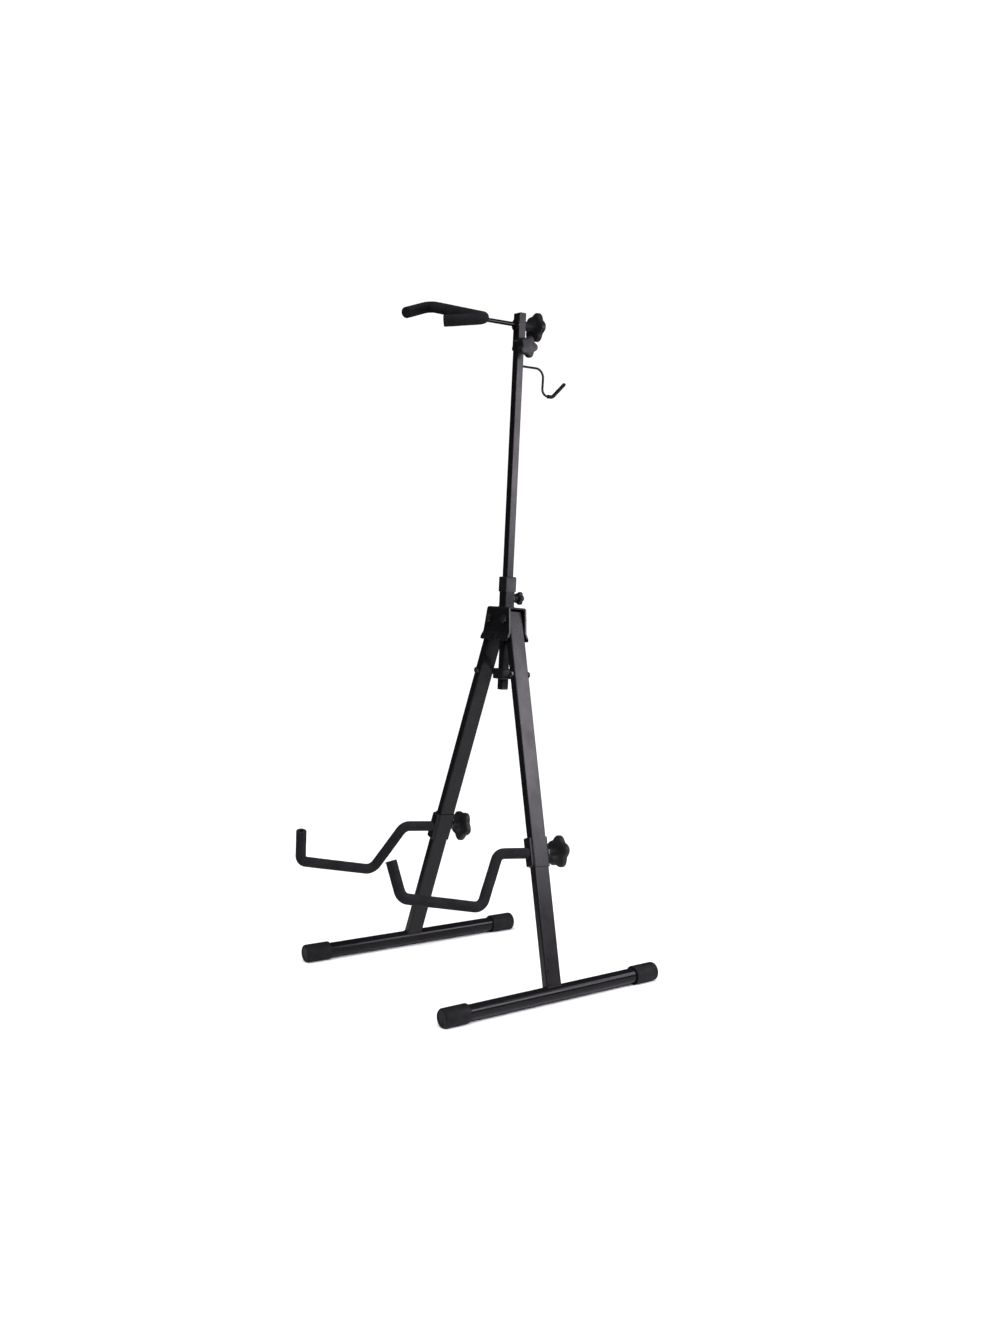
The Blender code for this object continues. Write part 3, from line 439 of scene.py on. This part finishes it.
# A cut end's rounded edge, from its face to the skin: trimmed off the radius, set back from the end
CUT_EDGE = ((0.0007, 0.0), (0.00022, 0.0003), (0.0, 0.0009))


def foam_reach(frames, i, angle, radius, seed):
    """Distance of the foam's skin from its rod: uneven, and creased on the inside of a bend."""
    here = frames[i]
    before, after = frames[max(i - 1, 0)], frames[min(i + 1, len(frames) - 1)]
    bend = (after.axes[2] - before.axes[2]) / max((after.origin - before.origin).length, 1e-6)
    outward = here.axes[0] * cos(angle) + here.axes[1] * sin(angle)
    inside = max(0.0, outward.dot(bend) * radius)
    point = here.origin + outward * radius + Vector((seed, 0.0, 0.0))
    uneven = 0.00016 * noise.noise(point * 55.0) + 0.00009 * noise.noise(point * 190.0)
    crease = sin(2 * pi * i * FOAM_STEP / CREASE_SPACING + 1.5 * noise.noise(point * 130.0))
    return radius + uneven + inside * (0.00025 + 0.00028 * crease)


def tear(angle, seed):
    """How a torn end is shortened, and flared, round its edge."""
    notch = exp(-((angle - 3.75) / 0.17) ** 2) + 0.55 * exp(-((angle - 4.35) / 0.11) ** 2)
    flap = exp(-((angle - 4.05) / 0.13) ** 2)
    ragged = 0.0004 * noise.noise(Vector((cos(angle) * 6.0, sin(angle) * 6.0, seed)))
    return 0.0030 * notch - ragged, 0.0016 * flap


def foam_tube(name, path, radius, bore, side, seed, body, node, torn=False, plugged=False):
    """Foam over a bent rod, cut square at both ends; a plugged one has no bore."""
    frames = frames_along(resampled(path, FOAM_STEP), side)
    angles = [2 * pi * k / FOAM_COUNT for k in range(FOAM_COUNT)]
    last = len(frames) - 1

    def ring(i, shape, pull=0.0):
        here = frames[i]
        points = []
        for angle in angles:
            reach = shape(i, angle)
            short, flare = tear(angle, seed) if torn and i == last else (0.0, 0.0)
            reach += flare * (reach / radius) ** 3
            short *= min(1.0, reach / radius)
            points.append(here.at(reach * cos(angle), reach * sin(angle), -pull - short))
        return points

    def trimmed(trim):
        return lambda i, angle: foam_reach(frames, i, angle, radius, seed) - trim

    def round_bore(size):
        return lambda i, angle: size

    mouth = PLUG_MOUTH if plugged else bore * MOUTH_SHARE
    end_face = [round_bore(mouth), round_bore((mouth + radius) / 2)]
    rings = [ring(0, shape) for shape in end_face]
    rings += [ring(0, trimmed(trim), -back) for trim, back in CUT_EDGE]
    rings += [ring(i, trimmed(0.0)) for i in range(1, last)]
    rings += [ring(last, trimmed(trim), back) for trim, back in CUT_EDGE[::-1]]
    rings += [ring(last, shape) for shape in end_face[::-1]]
    if not plugged:
        rings.append(ring(last, round_bore(bore), BORE_INSET))
        rings += [ring(i, round_bore(bore)) for i in range(last - 2, 1, -4)]
        rings.append(ring(0, round_bore(bore), -BORE_INSET))
    body_mesh = skinned(rings, closed=not plugged)
    piece = add_piece(name, body_mesh, FOAM, body, (node,), sharp=50.0)


def make_arm_foams():
    for side, name in ((-1, "left"), (1, "right")):
        leg = leg_frame(side)
        corners = [leg.at(0.0, -forward, -down) for forward, down in ARM_PATH]
        corners[0] = leg.at(0.0, -(SLEEVE_OUT_Y + CLEAR + PLATE_T + CLEAR + ROD_GAP), -ARM_PATH[0][1])
        path = rounded_path(corners, ARM_BENDS)
        foam_tube(name + "_arm_foam_tube", path, ARM_FOAM_R, ARM_ROD_R + CLEAR, leg.axes[0], 3.0 * side,
                  name + "_arm", name + "_arm_foam", torn=side > 0)


def yoke_path():
    """Line of the yoke's frame: a base bar, and two arms that turn in to the front and droop."""
    turn = Matrix.Rotation(YOKE_ROLL, 3, "Y") @ Matrix.Rotation(YOKE_DROOP, 3, "X")
    tip_x, tip_y = YOKE_HALF - sin(YOKE_TURN_IN) * YOKE_ARM, -cos(YOKE_TURN_IN) * YOKE_ARM
    corners = []
    for across, back in ((-tip_x, tip_y), (-YOKE_HALF, 0.0), (YOKE_HALF, 0.0), (tip_x, tip_y)):
        x, y, z = turn @ Vector((across, back, 0.0))
        corners.append(MAST.at(x, y - YOKE_FORWARD, z + YOKE_UP + YOKE_RISE))
    return rounded_path(corners, [YOKE_CORNER, YOKE_CORNER])


def make_yoke_foam():
    foam_tube("yoke_foam_tube", yoke_path(), YOKE_FOAM_R, YOKE_FRAME_R + CLEAR, MAST.axes[2], 9.0,
              "yoke", "yoke_foam", plugged=True)


# Rubber --------------------------------------------------------------------------------------

CAP_COUNT = 72
CAP_NOTCH_DEPTH, CAP_NOTCH_REACH, CAP_NOTCH_WIDTH = 0.0024, 0.0030, 0.10


def cap_ring(foot, sign, radius, inset, notch_angle):
    """One ring of a cap: flat where it stands on the floor, dented by a notch near the cap's mouth."""
    near_mouth = max(0.0, 1.0 - (CAP_LENGTH - inset) / CAP_NOTCH_REACH)
    points = []
    for k in range(CAP_COUNT):
        angle = 2 * pi * k / CAP_COUNT
        notch = CAP_NOTCH_DEPTH * near_mouth * exp(-((angle - notch_angle) / CAP_NOTCH_WIDTH) ** 2)
        along = sign * (FOOT_LENGTH / 2 - inset + notch)
        points.append(foot.at(radius * cos(angle), along, max(radius * sin(angle), -FOOT_AXIS_Z)))
    return points


def make_caps():
    """Rubber feet: soft outer edges, a sunk disc in the end, a bevelled mouth and a moulding notch."""
    # Radius and distance from the cap's outer end, up the bore and back along the outside
    bore = [(0.0010, CAP_END), (FOOT_R + CLEAR, CAP_END), (FOOT_R + CLEAR, CAP_LENGTH - 0.0030),
            (FOOT_R + 0.0011, CAP_LENGTH - 0.0008), (FOOT_R + 0.0016, CAP_LENGTH)]
    outside = [(CAP_R - 0.0010, CAP_LENGTH), (CAP_R - 0.0002, CAP_LENGTH - 0.0004),
               (CAP_R, CAP_LENGTH - 0.0012), (CAP_R, 0.030), (CAP_R, 0.012), (CAP_R, 0.0050),
               (CAP_R - 0.00025, 0.0034), (CAP_R - 0.0009, 0.0019), (CAP_R - 0.0019, 0.0008),
               (CAP_R - 0.0032, 0.0002), (CAP_R - 0.0044, 0.0), (CAP_R - 0.0050, 0.0001),
               (CAP_R - 0.0054, 0.0007), (CAP_R - 0.0058, 0.0009), (0.0060, 0.0008), (0.0010, 0.0007)]
    for side, leg in ((-1, "left"), (1, "right")):
        foot = foot_frame(side)
        notch_angle = (pi + side * 0.72 * pi) % (2 * pi)
        for sign, end in ((-1, "front"), (1, "back")):
            rings = [cap_ring(foot, sign, radius, inset, notch_angle) for radius, inset in bore + outside]
            name = "%s_%s_cap" % (leg, end)
            add_piece(name + "_rubber", skinned(rings, closed=False), RUBBER, leg + "_leg", (name,),
                      sharp=55.0)


HOOK_COUNT = 32


def make_hook_tip():
    """Rubber tube over the bow hook's cradle and upturned end: a rolled mouth and a domed end."""
    corners = [MAST.at(0.0, back, up) for back, up in HOOK_PATH]
    steps = 14
    path = rounded_path(corners, HOOK_BENDS, steps)[2 * (steps + 1):]
    path[-1] += (corners[-1] - corners[-2]).normalized() * HOOK_TIP
    frames = frames_along(resampled(path, 0.0012), RIGHT)
    first, body, last = frames[0], frames[3:-3], frames[-1]
    bore = circle(HOOK_R + CLEAR, HOOK_COUNT)
    rings = [level(last, outline, CLEAR - HOOK_TIP, "z") for outline in (circle(0.0004, HOOK_COUNT), bore)]
    rings += [level(place, bore, 0.0, "z") for place in body[::-1]]
    rings.append(level(first, bore, 0.0002, "z"))
    for radius, along in ((0.0026, 0.0), (0.0033, 0.0003), (0.0035, 0.0011), (0.0033, 0.0020)):
        rings.append(level(first, circle(radius, HOOK_COUNT), along, "z"))
    rings += [level(place, circle(HOOK_SLEEVE_R, HOOK_COUNT), 0.0, "z") for place in body]
    for radius, along in ((HOOK_SLEEVE_R, -0.0024), (0.0030, -0.0014), (0.0024, -0.0005), (0.0014, -0.0001),
                          (0.0004, 0.0)):
        rings.append(level(last, circle(radius, HOOK_COUNT), along, "z"))
    add_piece("bow_hook_tip", skinned(rings, closed=False), RUBBER, "mast", ("bow_hook_sleeve",),
              sharp=50.0)


# Knobs ---------------------------------------------------------------------------------------

KNOB_COUNT, LOBES = 100, 5
FULL_HEAD = 0.0115


def star(radius, depth, lobing):
    """Lobed outline; a lobing of 0 makes it a circle."""
    points = []
    for i in range(KNOB_COUNT):
        angle = 2 * pi * i / KNOB_COUNT
        wave = (0.5 + 0.5 * cos(LOBES * angle)) ** 0.8
        reach = radius - depth * (1.0 - wave) * lobing
        points.append((reach * cos(angle), reach * sin(angle)))
    return points


def hand_knob(name, place, axis, start, shape, ringed=True):
    """Star knob: a hub with a moulded foot ring and a filleted lobed head, ringed or plain on top."""
    hub_r, hub, thick, radius, depth, bore_r, bore = shape
    foot = start + hub
    thin = min(1.0, thick / FULL_HEAD)
    # The bore and the hub: radius, and distance along the axis
    rounds = [(bore_r + CLEAR, start + bore), (bore_r + CLEAR, start + 0.0006), (bore_r + 0.0009, start),
              (hub_r - 0.0007, start), (hub_r, start + 0.0006), (hub_r, start + 0.0020),
              (hub_r - 0.0005, start + 0.0026), (hub_r - 0.0005, foot - 0.0030), (hub_r, foot - 0.0012),
              (hub_r + 0.0010, foot - 0.0002)]
    rings = [level(place, circle(reach, KNOB_COUNT), z, axis) for reach, z in rounds]
    # The head: share of its radius, lobing, and distance from the hub's end
    head = [(0.62, 0.5, 0.0), (0.84, 0.9, 0.0001), (0.915, 1.0, 0.0005), (0.962, 1.0, 0.0013),
            (0.990, 1.0, 0.0024), (1.0, 1.0, 0.0038), (1.0, 1.0, thick - 0.0042 * thin),
            (0.990, 1.0, thick - 0.0027 * thin), (0.962, 1.0, thick - 0.0014 * thin),
            (0.915, 1.0, thick - 0.0005 * thin), (0.86, 1.0, thick - 0.0001)]
    if ringed:
        head += [(0.70, 0.9, thick + 0.0004), (0.56, 0.4, thick + 0.0006), (0.50, 0.0, thick + 0.0006),
                 (0.47, 0.0, thick + 0.0001), (0.45, 0.0, thick - 0.0004), (0.42, 0.0, thick - 0.0004),
                 (0.40, 0.0, thick + 0.0002), (0.37, 0.0, thick + 0.0006), (0.20, 0.0, thick + 0.0008)]
    else:
        head += [(0.70, 0.9, thick + 0.0002), (0.45, 0.5, thick + 0.0005)]
    head.append((0.03, 0.0, thick + 0.0008))
    for share, lobing, rise in head:
        rings.append(level(place, star(radius * share, depth * share, lobing), foot + rise, axis))
    add_piece(name + "_moulding", skinned(rings, closed=False), KNOB, name, (name,), sharp=60.0)


def make_knobs():
    tilt = MAST.moved(0.0, 0.0, TILT_UP)
    rod = MAST.moved(0.0, 0.0, YOKE_UP)
    height = MAST.moved(0.0, 0.0, HEIGHT_KNOB_UP)
    hand_knob("tilt_knob", tilt, "x", HEAD_HALF_X + CLEAR + TILT_KNOB_GAP, TILT_KNOB, ringed=False)
    hand_knob("yoke_knob", rod, "y", HEAD_HALF_Y + YOKE_KNOB_GAP, YOKE_KNOB)
    hand_knob("height_knob", height, "y", SOCKET_HALF + CLEAR + NUT_AND_GAP, HEIGHT_KNOB)
    for side, name in ((-1, "left"), (1, "right")):
        middle = leg_frame(side).moved(0.0, 0.0, -SLEEVE_ALONG)
        hand_knob(name + "_clamp_knob", middle, "y", SLEEVE_OUT_Y + CLEAR + NUT_AND_GAP, CLAMP_KNOB)


# Welds ---------------------------------------------------------------------------------------

WELD_STEP, WELD_RIPPLE, WELD_COUNT = 0.0007, 0.0021, 10
WELD_GAP = 0.0002
PLATE_WELD_HALF, PLATE_WELD_OFF = 0.0215, 0.0004


def bead(name, path, radius, side, body, closed):
    """A weld bead under paint: a thin rope of overlapping ripples."""
    points = resampled(path + path[:1] if closed else path, WELD_STEP)
    if closed:
        points = points[:-1]
    count = len(points)
    rings = []
    for i, point in enumerate(points):
        if closed:
            before, after = points[i - 1], points[(i + 1) % count]
        else:
            before, after = points[max(i - 1, 0)], points[min(i + 1, count - 1)]
        forward = (after - before).normalized()
        across = (side - forward * side.dot(forward)).normalized()
        other = forward.cross(across)
        ripple = 0.13 * sin(2 * pi * i * WELD_STEP / WELD_RIPPLE)
        size = radius * (1.0 + ripple + 0.22 * noise.noise(point * 260.0))
        if not closed:
            size *= min(1.0, 0.35 + 0.3 * min(i, count - 1 - i))
        rings.append([point + across * u + other * v for u, v in circle(size, WELD_COUNT)])
    add_piece(name, skinned(rings, closed), WELD, body, sharp=80.0)


def on_foot(place, outline, foot):
    """Carry a leg's outline down onto its round foot tube."""
    down, axis = -place.axes[2], foot.axes[1]
    points = []
    for x, y in outline:
        start = place.at(x, y, 0.0)
        across = down - axis * down.dot(axis)
        offset = (start - foot.origin) - axis * (start - foot.origin).dot(axis)
        a, b = across.dot(across), 2.0 * across.dot(offset)
        c = offset.dot(offset) - (FOOT_R + WELD_GAP) ** 2
        points.append(start + down * ((-b - sqrt(b * b - 4.0 * a * c)) / (2.0 * a)))
    return points


def make_welds():
    """Beads round each leg's foot, beside each arm's plate, and round the socket on the bracket."""
    for side, name in ((-1, "left"), (1, "right")):
        leg, foot = leg_frame(side), foot_frame(side)
        outline = rounded(LEG_X / 2 + WELD_GAP, LEG_Y / 2 + WELD_GAP, 0.0027, mids=8)
        bead(name + "_foot_weld", on_foot(leg, outline, foot), 0.0011, leg.axes[2], name + "_leg", True)
        plate_back = -SLEEVE_OUT_Y - CLEAR
        for edge, label in ((-1, "inner"), (1, "outer")):
            x = edge * PLATE_HALF_X
            ends = [leg.at(x, plate_back - PLATE_WELD_OFF, -SLEEVE_ALONG + z)
                    for z in (-PLATE_WELD_HALF, PLATE_WELD_HALF)]
            bead("%s_plate_weld_%s" % (name, label), ends, 0.0008, leg.axes[0], name + "_arm", False)
    loop = []
    for x, y in rounded(SOCKET_HALF + WELD_GAP, SOCKET_HALF + WELD_GAP, 0.0022):
        start = MAST.at(x, y, 0.0)
        rise = BRACKET_TOP + 0.0004 - (start - MAST.origin).dot(PLANE.axes[2])
        loop.append(MAST.at(x, y, rise / MAST.axes[2].dot(PLANE.axes[2])))
    bead("socket_weld", loop, 0.0009, MAST.axes[2], "root", True)


# Studio --------------------------------------------------------------------------------------

FLOOR_NEAR, FLOOR_FAR = 0.65, 60.0


def square(half):
    """Corners of a level square that lies on the floor when its object is at the feet's axis height."""
    return [(x * half, y * half, -FOOT_AXIS_Z) for x, y in ((-1, -1), (1, -1), (1, 1), (-1, 1))]


def make_floor():
    """Pale floor under the stand, with a ring round it that reaches far beyond the picture.

    Both keep to the height of the right foot, which goes down when the legs fold.
    """
    finish = Finish("floor_pale", Specular_IOR_Level=0.0)
    finish.colour(finish.mixed(finish.ranged(finish.noise(0.9, 2.0), 0.3, 0.7, 0.0, 1.0),
                               (0.860, 0.860, 0.862), (0.875, 0.875, 0.875)))
    finish.roughness(finish.ranged(finish.noise(2.0, 2.0), 0.3, 0.7, 0.85, 0.95))
    marker = bpy.data.objects.new("foot_level", None)
    marker.location = foot_frame(1).at(0.0, 0.0, 0.0)
    bpy.context.scene.collection.objects.link(marker)
    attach(marker, "right_leg")
    ring = [(k, (k + 1) % 4, (k + 1) % 4 + 4, k + 4) for k in range(4)]
    for name, corners, faces in (("studio_floor", square(FLOOR_NEAR), [(0, 1, 2, 3)]),
                                 ("studio_floor_beyond", square(FLOOR_FAR) + square(FLOOR_NEAR), ring)):
        mesh = bpy.data.meshes.new(name)
        mesh.from_pydata(corners, [], faces)
        mesh.materials.append(finish.material)
        floor = bpy.data.objects.new(name, mesh)
        bpy.context.scene.collection.objects.link(floor)
        keep_level = floor.constraints.new("COPY_LOCATION")
        keep_level.target = marker
        keep_level.use_x, keep_level.use_y = False, False
    # The ring, made last, is seen by the camera but lights nothing
    floor.visible_diffuse = False
    floor.visible_glossy = False


def aim(thing, place, target):
    """Add a light to the scene, at a place and pointing at a target."""
    thing.location = place
    thing.rotation_euler = (Vector(target) - Vector(place)).to_track_quat("-Z", "Y").to_euler()
    bpy.context.scene.collection.objects.link(thing)


def make_panel(name, size, radiance, colour, place, target):
    """Softbox that lights the stand but stays out of the picture."""
    light = bpy.data.lights.new(name, "AREA")
    light.shape, light.size, light.size_y = "RECTANGLE", *size
    light.energy, light.color = radiance * pi * size[0] * size[1], colour
    panel = bpy.data.objects.new(name, light)
    aim(panel, place, target)
    panel.visible_camera = False


def make_lights():
    """A broad soft key from high in front, a softbox at the right rear, and a weak one at the right front.

    The world behind is white to the camera and nearly dark to everything else.
    """
    key = bpy.data.lights.new("key", "SUN")
    key.energy, key.angle = 4.3, radians(70.0)
    sun = bpy.data.objects.new("key", key)
    aim(sun, (0.7, -1.5, 3.2), (0.0, 0.0, 0.0))
    sun.visible_glossy = False
    make_panel("side_softbox", size=(1.5, 0.60), radiance=13.5, colour=(0.98, 0.91, 1.02),
               place=(1.30, 0.98, 1.01), target=(0.0, 0.03, 0.75))
    make_panel("front_softbox", size=(0.7, 1.3), radiance=2.0, colour=(1.0, 0.97, 1.0),
               place=(2.5, -1.9, 1.9), target=(0.0, 0.03, 0.6))

    world = bpy.data.worlds.new("studio")
    world.use_nodes = True
    nodes, links = world.node_tree.nodes, world.node_tree.links
    around = nodes["Background"]
    around.inputs["Color"].default_value = (0.93, 0.95, 1.0, 1.0)
    around.inputs["Strength"].default_value = 0.05
    backdrop = nodes.new("ShaderNodeBackground")
    backdrop.inputs["Color"].default_value = (1.0, 1.0, 1.0, 1.0)
    backdrop.inputs["Strength"].default_value = 1.05
    mix = nodes.new("ShaderNodeMixShader")
    links.new(nodes.new("ShaderNodeLightPath").outputs["Is Camera Ray"], mix.inputs["Fac"])
    links.new(around.outputs["Background"], mix.inputs[1])
    links.new(backdrop.outputs["Background"], mix.inputs[2])
    links.new(mix.outputs["Shader"], nodes["World Output"].inputs["Surface"])
    bpy.context.scene.world = world


def make_camera():
    """From the stand's right front, a little above its middle."""
    azimuth, elevation, roll = radians(55.579), radians(4.498), radians(-0.275)
    back = Vector((sin(azimuth) * cos(elevation), -cos(azimuth) * cos(elevation), sin(elevation)))
    level_right = Vector((cos(azimuth), sin(azimuth), 0.0))
    level_up = back.cross(level_right)
    right = cos(roll) * level_right + sin(roll) * level_up
    up = cos(roll) * level_up - sin(roll) * level_right
    lens = bpy.data.cameras.new("camera")
    lens.sensor_width, lens.lens = 36.0, 41.98
    lens.clip_end = 300.0
    camera = bpy.data.objects.new("camera", lens)
    matrix = Matrix((right, up, back)).transposed().to_4x4()
    matrix.translation = Vector((2.2056, -1.4354, 0.7556))
    camera.matrix_world = matrix
    bpy.context.scene.collection.objects.link(camera)
    bpy.context.scene.camera = camera


make_camera()
finish_cad()
make_arm_foams()
make_yoke_foam()
make_caps()
make_hook_tip()
make_knobs()
make_welds()
make_floor()
make_lights()
bpy.context.scene.view_settings.view_transform = "Standard"
